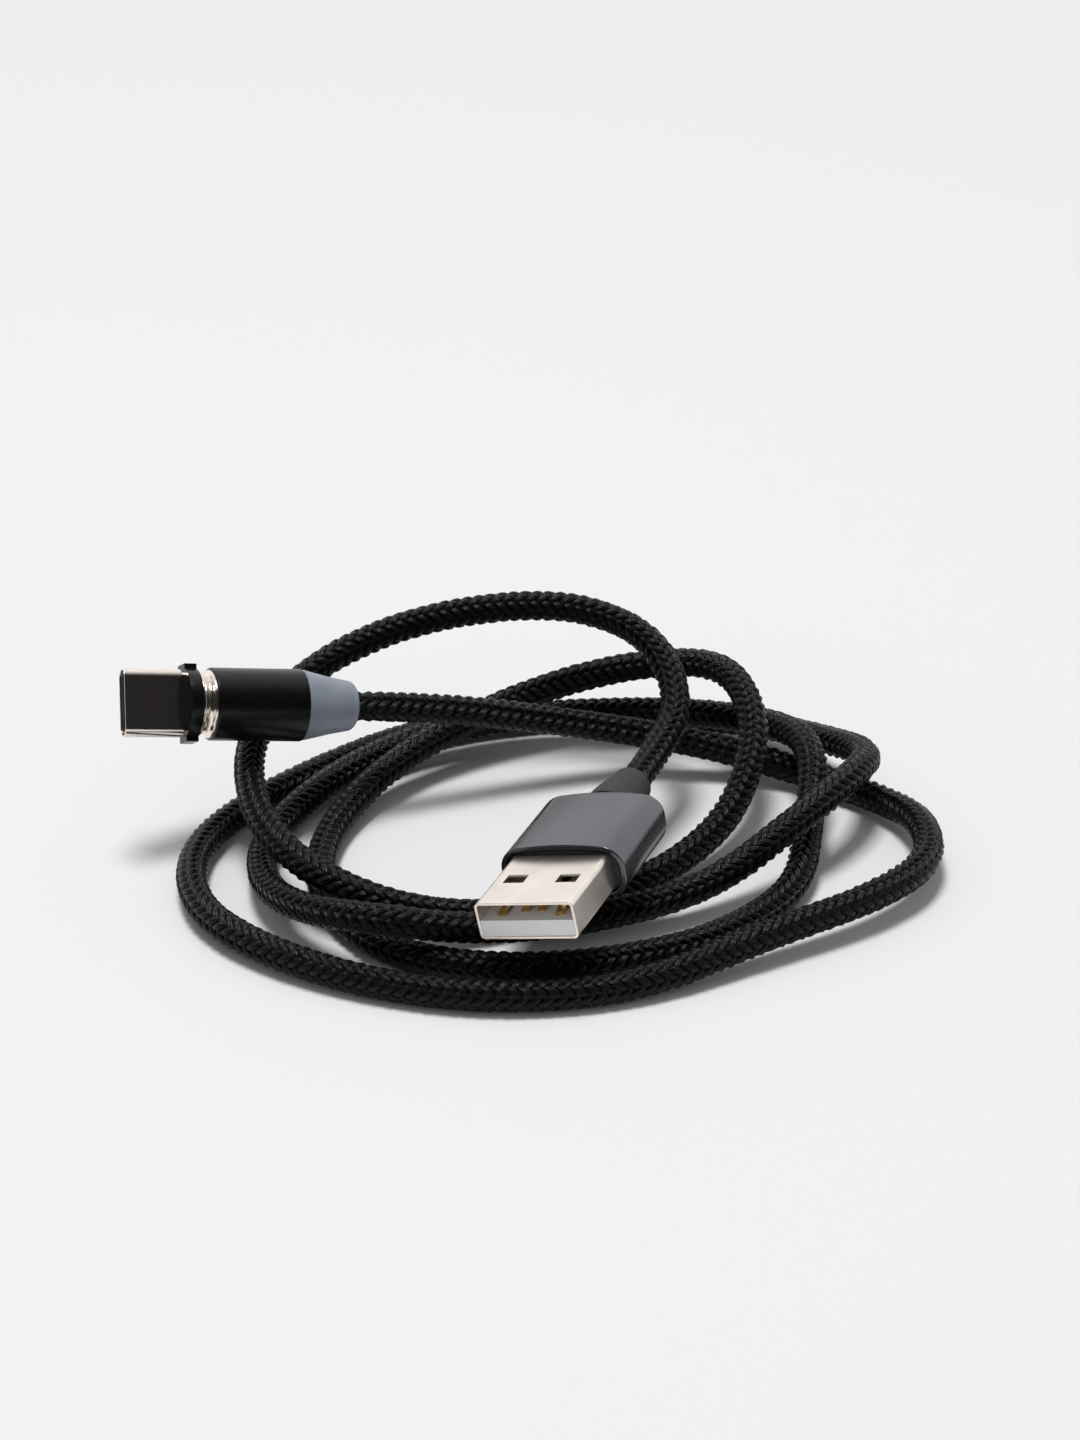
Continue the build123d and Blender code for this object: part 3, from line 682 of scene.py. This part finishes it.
def modify(piece, kind, **values):
    """Adds a modifier to the open piece, applies it in object mode and opens the piece again."""
    bpy.ops.object.mode_set(mode="OBJECT")
    modifier = piece.modifiers.new(kind.lower(), kind)
    for name, value in values.items():
        setattr(modifier, name, value)
    bpy.ops.object.modifier_apply(modifier=modifier.name)
    bpy.ops.object.mode_set(mode="EDIT")
    bpy.ops.mesh.select_mode(type="FACE")
    bpy.ops.mesh.select_all(action="SELECT")


def thicken(piece, wall):
    modify(piece, "SOLIDIFY", thickness=wall * MM, offset=-1.0, use_even_offset=True)


def soften(piece, width, segments, angle):
    """Rounds every edge sharper than the angle."""
    modify(piece, "BEVEL", width=width * MM, segments=segments, limit_method="ANGLE",
           angle_limit=radians(angle), use_clamp_overlap=True, harden_normals=False)


def close_piece(piece, matrix, slot_name, body, node, angle, material=None):
    """Ends the modelling: places the mesh on its plug, shades it, and ties it to the frame."""
    bpy.ops.mesh.select_all(action="SELECT")
    bpy.ops.mesh.normals_make_consistent(inside=False)
    bpy.ops.object.mode_set(mode="OBJECT")
    piece.data.transform(matrix)
    bpy.ops.object.shade_smooth_by_angle(angle=radians(angle))
    weighted = piece.modifiers.new("weighted", "WEIGHTED_NORMAL")
    weighted.keep_sharp = True
    bpy.ops.object.modifier_apply(modifier=weighted.name)
    dress(piece, slot_name, material)
    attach(piece, body)
    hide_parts(node)


# ---------------------------------------------------------------- USB-A plug
# Places along the plug, millimetres from the boot's end.
HOUSING_REAR, HOUSING_FRONT, MOUTH = 8.0, 23.6, 35.6
SHELL_LENGTH = 18.75
SHELL_REAR = MOUTH - SHELL_LENGTH
SHELL_CORNER = 0.6
WINDOW_SETBACK, WINDOW_LENGTH = 5.16, 2.0
WINDOW_INNER, WINDOW_OUTER = 1.95, 4.45
HOUSING_CORNER, HOUSING_REAR_ROUND, REAR_STEPS = 2.3, 1.9, 8
REAR_TAPER = 0.96   # share of the rounding by which the rear end narrows
MOULD_INSET, MOULD_CROWN, MOULD_CORNER = 0.65, 0.62, 1.7
MOULD_REAR, MOULD_FRONT = HOUSING_REAR + 2.2, HOUSING_FRONT - 0.16
BOOT_PROFILE = [(1.92, 0.35), (2.1, 0.02), (2.32, 0.02), (2.45, 0.2), (2.5, 0.7), (2.62, 1.8), (2.85, 3.4),
                (3.1, 5.0), (3.26, 6.4), (3.34, 7.6), (3.36, 8.6), (1.6, 8.6)]
BOOT_STEPS = 96
TONGUE_THICKNESS = 1.95
CONTACTS = (("power", -3.5, 1.3), ("data_minus", -1.0, 2.3), ("data_plus", 1.0, 2.3), ("ground", 3.5, 1.3))
CONTACT_THICKNESS, CONTACT_LIFT, CONTACT_REAR = 0.16, 0.02, SHELL_REAR + 1.0
BOW_STEPS, BOW_STEP, BOW_RISE, NOSE_DIP = 7, 0.4, 0.42, 0.12


class CABLE_OT_plug_shell(bpy.types.Operator):
    """Form the USB-A plug's metal shell with two windows in each broad face"""

    bl_idname = "cable.plug_shell"
    bl_label = "USB-A shell"

    def execute(self, context):
        plug = context.scene.cable_plug
        piece = block("plug_shell", plug.shell_width / MM, plug.shell_height / MM, SHELL_REAR, MOUTH)
        pick("EDGE", along_z)
        round_edges(SHELL_CORNER, 6)
        remove_faces(is_end)
        near = MOUTH - WINDOW_SETBACK
        far = near - WINDOW_LENGTH
        for z in (near, far):
            slice_at(mm(0, 0, z), (0, 0, 1))
        for x in (-WINDOW_OUTER, -WINDOW_INNER, WINDOW_INNER, WINDOW_OUTER):
            slice_at(mm(x, 0, 0), (1, 0, 0))

        def in_window(face):
            spot = face.calc_center_median() / MM
            broad = abs(face.normal.y) > 0.9
            return broad and far < spot.z < near and WINDOW_INNER < abs(spot.x) < WINDOW_OUTER

        remove_faces(in_window)
        thicken(piece, plug.shell_wall / MM)
        soften(piece, 0.05, 3, 50.0)
        close_piece(piece, PLUG_FRAME, "nickel", "cable", "usb_a_shell", 30.0, MATERIALS["satin_nickel"])
        return {"FINISHED"}


class CABLE_OT_plug_housing(bpy.types.Operator):
    """Form the crowned anodised housing with its rounded rear and thin front lip"""

    bl_idname = "cable.plug_housing"
    bl_label = "USB-A housing"

    def execute(self, context):
        plug = context.scene.cable_plug
        half_width = plug.housing_width / MM / 2
        half_height = plug.housing_height / MM / 2
        crown = plug.housing_crown / MM
        piece = crowned_block("plug_housing", 2 * half_width, 2 * (half_height - crown), crown,
                              HOUSING_CORNER, 12, HOUSING_REAR + HOUSING_REAR_ROUND, HOUSING_FRONT)
        pick("FACE", lambda face: face.normal.z < -0.9)
        quarter = pi / 2 / REAR_STEPS
        before = 0.0
        for step in range(1, REAR_STEPS + 1):
            angle = quarter * step
            inward = HOUSING_REAR_ROUND * (1 - cos(angle)) * REAR_TAPER
            shrink_x = (half_width - inward) / (half_width - before)
            shrink_y = (half_height - inward) / (half_height - before)
            back = HOUSING_REAR_ROUND * (sin(angle) - sin(angle - quarter))
            bpy.ops.mesh.extrude_region_move(TRANSFORM_OT_translate={"value": mm(0, 0, -back)})
            bpy.ops.transform.resize(value=(shrink_x, shrink_y, 1), center_override=(0, 0, 0))
            before = inward
        remove_faces(lambda face: face.normal.z > 0.9)
        thicken(piece, plug.lip_wall / MM)
        soften(piece, 0.14, 4, 45.0)
        close_piece(piece, PLUG_FRAME, "anodised_grey", "cable", "usb_a_housing", 40.0)
        return {"FINISHED"}


class CABLE_OT_plug_mould(bpy.types.Operator):
    """Cast the black filling that shows between the shell and the housing's lip"""

    bl_idname = "cable.plug_mould"
    bl_label = "Inner mould"

    def execute(self, context):
        plug = context.scene.cable_plug
        width = plug.housing_width / MM - 2 * MOULD_INSET
        side_height = (plug.housing_height - 2 * plug.housing_crown) / MM - 2 * MOULD_INSET
        piece = crowned_block("plug_mould", width, side_height, MOULD_CROWN, MOULD_CORNER, 8, MOULD_REAR,
                              MOULD_FRONT)
        soften(piece, 0.1, 2, 50.0)
        close_piece(piece, PLUG_FRAME, "black_plastic", "cable", "usb_a_inner_mould", 40.0)
        return {"FINISHED"}


class CABLE_OT_plug_boot(bpy.types.Operator):
    """Turn the rubber boot between the cord and the housing"""

    bl_idname = "cable.plug_boot"
    bl_label = "Boot"

    def execute(self, context):
        piece = spun("plug_boot", BOOT_PROFILE, BOOT_STEPS)
        soften(piece, 0.12, 3, 40.0)
        close_piece(piece, PLUG_FRAME, "boot_rubber", "cable", "usb_a_boot", 60.0)
        return {"FINISHED"}


class CABLE_OT_plug_contacts(bpy.types.Operator):
    """Bend the four sprung contacts that ride on the tongue"""

    bl_idname = "cable.plug_contacts"
    bl_label = "USB-A contacts"

    def execute(self, context):
        plug = context.scene.cable_plug
        tongue_face = (plug.shell_wall - plug.shell_height / 2) / MM + TONGUE_THICKNESS
        for name, x, setback in CONTACTS:
            front = MOUTH - setback
            piece = block("contact_" + name, plug.contact_width / MM, CONTACT_THICKNESS, CONTACT_REAR,
                          front, x=x, y=tongue_face + CONTACT_LIFT)
            for step in range(1, BOW_STEPS + 1):
                slice_at(mm(0, 0, front - BOW_STEP * step), (0, 0, 1))
            for step in range(BOW_STEPS + 1):
                z = front - BOW_STEP * step
                rise = BOW_RISE * sin(pi * step / BOW_STEPS) - (0 if step else NOSE_DIP)
                pick("VERT", lambda v, z=z: abs(v.co.z - z * MM) < SNAP)
                bpy.ops.transform.translate(value=mm(0, rise, 0))
            soften(piece, 0.07, 3, 50.0)
            close_piece(piece, PLUG_FRAME, "gold", "cable", "usb_a_contact_" + name, 60.0)
        return {"FINISHED"}


# ---------------------------------------------------------------- magnetic head
# Places along the head and the tip, millimetres from the cone's end.
SLEEVE_REAR, SLEEVE_FRONT, RING_FACE = 6.95, 18.5, 19.3
TIP_RING_REAR, FLANGE_REAR, FLANGE_FRONT, RIM = 19.32, 20.22, 21.79, 29.19
HEAD_STEPS = 112
CONE_ROUND, CONE_BORE = 1.15, 1.95
CONE_BODY = [(3.5, 3.3), (3.95, 5.2), (4.33, 6.93), (3.4, 6.93), (3.0, 4.0), (2.0, 2.6)]
RING_BORE, WAIST = 2.3, 3.55    # radii
HEAD_RING_PROFILE = [(RING_BORE, SLEEVE_FRONT - 0.5), (4.0, SLEEVE_FRONT - 0.5), (4.12, SLEEVE_FRONT + 0.04),
                     (4.08, SLEEVE_FRONT + 0.2), (3.8, SLEEVE_FRONT + 0.38), (3.62, SLEEVE_FRONT + 0.56),
                     (WAIST, RING_FACE - 0.06), (WAIST, RING_FACE), (RING_BORE, RING_FACE)]
TIP_RING_PROFILE = [(RING_BORE, TIP_RING_REAR), (WAIST, TIP_RING_REAR), (WAIST, TIP_RING_REAR + 0.1),
                    (3.66, TIP_RING_REAR + 0.3), (3.9, TIP_RING_REAR + 0.5), (4.1, TIP_RING_REAR + 0.68),
                    (4.13, FLANGE_REAR), (RING_BORE, FLANGE_REAR)]
PLATE_GAP, EAR_HALF_WIDTH, EAR_PULL = 0.03, 1.32, 0.6
USB_C_CORNER, USB_C_REAR = 1.14, FLANGE_FRONT - 0.5


class CABLE_OT_head_cone(bpy.types.Operator):
    """Turn the frosted light cone with its rounded end"""

    bl_idname = "cable.head_cone"
    bl_label = "Light cone"

    def execute(self, context):
        profile = [(1.92, 0.0)]
        for step in range(7):
            angle = pi / 2 * step / 6
            profile.append((CONE_BORE + CONE_ROUND * sin(angle), CONE_ROUND * (1 - cos(angle))))
        piece = spun("light_cone", profile + CONE_BODY, HEAD_STEPS)
        soften(piece, 0.05, 2, 50.0)
        close_piece(piece, HEAD_FRAME, "frosted_plastic", "cable", "head_diffuser", 45.0)
        return {"FINISHED"}


class CABLE_OT_head_sleeve(bpy.types.Operator):
    """Turn the gloss black sleeve with its rolled ends"""

    bl_idname = "cable.head_sleeve"
    bl_label = "Sleeve"

    def execute(self, context):
        head = context.scene.cable_head
        outer = head.sleeve_diameter / MM / 2
        bore = outer - head.sleeve_wall / MM
        profile = [(bore, SLEEVE_REAR), (outer - 0.08, SLEEVE_REAR), (outer, SLEEVE_REAR + 0.08),
                   (outer, SLEEVE_FRONT - 0.16), (outer - 0.16, SLEEVE_FRONT), (bore, SLEEVE_FRONT)]
        piece = spun("head_sleeve_tube", profile, HEAD_STEPS)
        soften(piece, 0.05, 3, 20.0)
        close_piece(piece, HEAD_FRAME, "black_gloss", "cable", "head_sleeve", 35.0)
        return {"FINISHED"}


class CABLE_OT_rings(bpy.types.Operator):
    """Turn the two plated rings that meet in a waisted groove"""

    bl_idname = "cable.rings"
    bl_label = "Magnet rings"

    def execute(self, context):
        for name, profile, body, node in (
                ("head_ring", HEAD_RING_PROFILE, "cable", "head_magnet_ring"),
                ("tip_ring_band", TIP_RING_PROFILE, "tip_ring", "tip_magnet_ring")):
            piece = spun(name, profile, HEAD_STEPS)
            soften(piece, 0.05, 3, 30.0)
            close_piece(piece, HEAD_FRAME, "nickel", body, node, 60.0)
        return {"FINISHED"}


class CABLE_OT_tip_flange(bpy.types.Operator):
    """Draw the tip's black plate and pull out its two ears"""

    bl_idname = "cable.tip_flange"
    bl_label = "Tip flange"

    def execute(self, context):
        head = context.scene.cable_head
        rear = FLANGE_REAR + PLATE_GAP
        piece = begin("tip_plate", bpy.ops.mesh.primitive_cylinder_add, vertices=120,
                      radius=head.plate_diameter / 2, depth=(FLANGE_FRONT - rear) * MM, end_fill_type="NGON")
        bpy.ops.transform.translate(value=mm(0, 0, (FLANGE_FRONT + rear) / 2))
        for side in (1, -1):
            def ear_root(face, side=side):
                spot = face.calc_center_median()
                on_rim = abs(face.normal.z) < 0.1
                return on_rim and spot.x * side > 0 and abs(spot.y) < EAR_HALF_WIDTH * MM

            pick("FACE", ear_root)
            bpy.ops.mesh.extrude_region_move(TRANSFORM_OT_translate={"value": mm(side * EAR_PULL, 0, 0)})
            bpy.ops.transform.resize(value=(0, 1, 1), center_override=(side * head.ear_reach, 0, 0))
        soften(piece, 0.1, 3, 45.0)
        close_piece(piece, HEAD_FRAME, "black_gloss", "tip", "tip_flange", 35.0)
        return {"FINISHED"}


class CABLE_OT_usb_c_shell(bpy.types.Operator):
    """Draw the USB-C plug's deep-drawn shell with its rolled rim"""

    bl_idname = "cable.usb_c_shell"
    bl_label = "USB-C shell"

    def execute(self, context):
        head = context.scene.cable_head
        piece = block("usb_c_tube", head.usb_c_width / MM, head.usb_c_height / MM, USB_C_REAR, RIM)
        pick("EDGE", along_z)
        round_edges(USB_C_CORNER, 12)
        remove_faces(is_end)
        thicken(piece, head.usb_c_wall / MM)
        soften(piece, 0.07, 3, 50.0)
        close_piece(piece, HEAD_FRAME, "nickel", "tip", "usb_c_shell", 30.0)
        return {"FINISHED"}


# ---------------------------------------------------------------- stage, in metres
FLOOR_SIZE, FLOOR_DROP = 8.0, 0.05 * MM
FADE_START, FADE_END = 0.15, 0.60           # distances at which the floor melts into the backdrop
DARKEST, BRIGHTEST = -0.35, 0.75            # Y of the directions between which the mirrored room brightens
LAMP_PLACE, LAMP_WIDTH, LAMP_DEPTH = (-0.12, 0.06, 1.6), 0.6, 0.45
CAMERA_PLACE = Vector((0.92, -393.4, 210.4)) * MM
CAMERA_TARGET = Vector((0.92, 38.0, 0.0)) * MM
LENS, SENSOR = 92.25, 36.0                  # millimetres


def face_towards(thing, target):
    direction = target - thing.location
    thing.rotation_euler = direction.to_track_quat("-Z", "Y").to_euler()


def lay_floor(stage):
    """A pale floor that keeps the shadow near the cable and melts into the backdrop further away."""
    bpy.ops.mesh.primitive_plane_add(size=FLOOR_SIZE, location=(0, 0, -FLOOR_DROP))
    floor = bpy.context.object
    floor.name = "studio_floor"
    paint = Shader("studio_floor", tuple(stage.floor_colour), 0.7, Specular_IOR_Level=0.15)
    path = paint.node("ShaderNodeLightPath")
    seen = paint.math("MAXIMUM", path.outputs["Is Camera Ray"], path.outputs["Is Glossy Ray"])
    seen = paint.math("MAXIMUM", seen, path.outputs["Is Transmission Ray"])
    reach = paint.node("ShaderNodeVectorMath", operation="LENGTH")
    paint.link(paint.coordinates(), reach.inputs[0])
    share = paint.math("MULTIPLY", seen, paint.fade(reach.outputs["Value"], FADE_START, FADE_END))
    glow = paint.node("ShaderNodeEmission")
    paint.feed(glow.inputs["Strength"], stage.backdrop_level)
    blend = paint.node("ShaderNodeMixShader")
    paint.link(share, blend.inputs[0])
    paint.link(paint.surface.outputs["BSDF"], blend.inputs[1])
    paint.link(glow.outputs["Emission"], blend.inputs[2])
    paint.link(blend.outputs[0], paint.tree.nodes["Material Output"].inputs["Surface"])
    floor.data.materials.append(paint.material)


def light_room(scene, stage):
    """Even fill, a bright wall mirrored behind the cable, a dark room in front, and a pale backdrop."""
    scene.world = bpy.data.worlds.new("studio")
    scene.world.use_nodes = True
    room = Nodes(scene.world.node_tree)
    aim = room.node("ShaderNodeTexCoord")
    depth = room.split(aim.outputs["Generated"])["Y"]
    mirrored = room.fade(depth, DARKEST, BRIGHTEST, stage.front_level, stage.back_level)
    path = room.node("ShaderNodeLightPath")
    level = room.mix(path.outputs["Is Glossy Ray"], stage.fill_level, mirrored)
    seen = room.math("MAXIMUM", path.outputs["Is Camera Ray"], path.outputs["Is Transmission Ray"])
    sky = room.tree.nodes["Background"]
    room.link(room.mix(seen, level, stage.backdrop_level), sky.inputs["Strength"])
    room.feed(sky.inputs["Color"], (1, 1, 1, 1))


def hang_lamp(scene, stage):
    lamp = bpy.data.lights.new("overhead", "AREA")
    lamp.shape = "RECTANGLE"
    lamp.size = LAMP_WIDTH
    lamp.size_y = LAMP_DEPTH
    lamp.energy = stage.lamp_energy
    thing = bpy.data.objects.new("overhead", lamp)
    scene.collection.objects.link(thing)
    thing.location = LAMP_PLACE
    face_towards(thing, Vector((0, 0, 0)))


def place_camera(scene):
    camera = bpy.data.cameras.new("camera")
    camera.sensor_fit = "VERTICAL"
    camera.sensor_width = SENSOR
    camera.sensor_height = SENSOR
    camera.lens = LENS
    camera.clip_start = 0.01
    view = bpy.data.objects.new("camera", camera)
    scene.collection.objects.link(view)
    view.location = CAMERA_PLACE
    face_towards(view, CAMERA_TARGET)
    scene.camera = view


class CABLE_OT_stage(bpy.types.Operator):
    """Set the pale floor, the soft lamp, the room's light and the camera"""

    bl_idname = "cable.stage"
    bl_label = "Stage"

    def execute(self, context):
        scene = context.scene
        stage = scene.cable_stage
        lay_floor(stage)
        light_room(scene, stage)
        hang_lamp(scene, stage)
        place_camera(scene)
        scene.view_settings.view_transform = "Standard"
        return {"FINISHED"}


class CABLE_OT_finishes(bpy.types.Operator):
    """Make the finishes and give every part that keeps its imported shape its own"""

    bl_idname = "cable.finishes"
    bl_label = "Finishes"

    def execute(self, context):
        MATERIALS.update(make_materials())
        slots = {part["node"]: part["material_slot"] for part in frame["record"]["subparts"]}
        for node, piece in frame["nodes"].items():
            piece.data.materials.clear()
            piece.data.materials.append(MATERIALS[slots[node]])
        return {"FINISHED"}


class CABLE_PT_panel(bpy.types.Panel):
    """Lists the cable's sizes, colours and pieces"""

    bl_label = "Charging cable"
    bl_idname = "CABLE_PT_panel"
    bl_space_type = "VIEW_3D"
    bl_region_type = "UI"
    bl_category = "Cable"

    def draw(self, context):
        for group in settings():
            box = self.layout.box()
            for name in group.bl_rna.properties.keys():
                if name not in ("rna_type", "name"):
                    box.prop(group, name)
        for operator in OPERATORS:
            self.layout.operator(operator.bl_idname)


GROUPS = (
    ("cable_cord", CordSettings),
    ("cable_plug", PlugSettings),
    ("cable_head", HeadSettings),
    ("cable_stage", StageSettings),
)
OPERATORS = (
    CABLE_OT_stage, CABLE_OT_finishes, CABLE_OT_plug_shell, CABLE_OT_plug_housing, CABLE_OT_plug_mould,
    CABLE_OT_plug_boot, CABLE_OT_plug_contacts, CABLE_OT_head_cone, CABLE_OT_head_sleeve, CABLE_OT_rings,
    CABLE_OT_tip_flange, CABLE_OT_usb_c_shell, CABLE_OT_cord,
)


def register():
    for name, group in GROUPS:
        bpy.utils.register_class(group)
        setattr(bpy.types.Scene, name, PointerProperty(type=group))
    for operator in OPERATORS:
        bpy.utils.register_class(operator)
    bpy.utils.register_class(CABLE_PT_panel)


def unregister():
    bpy.utils.unregister_class(CABLE_PT_panel)
    for operator in reversed(OPERATORS):
        bpy.utils.unregister_class(operator)
    for name, group in reversed(GROUPS):
        delattr(bpy.types.Scene, name)
        bpy.utils.unregister_class(group)


def main():
    register()
    bpy.ops.object.select_all(action="DESELECT")
    bpy.ops.cable.stage()
    bpy.ops.cable.finishes()
    bpy.ops.cable.plug_shell()
    bpy.ops.cable.plug_housing()
    bpy.ops.cable.plug_mould()
    bpy.ops.cable.plug_boot()
    bpy.ops.cable.plug_contacts()
    bpy.ops.cable.head_cone()
    bpy.ops.cable.head_sleeve()
    bpy.ops.cable.rings()
    bpy.ops.cable.tip_flange()
    bpy.ops.cable.usb_c_shell()
    bpy.ops.cable.cord()


if __name__ == "__main__":
    main()
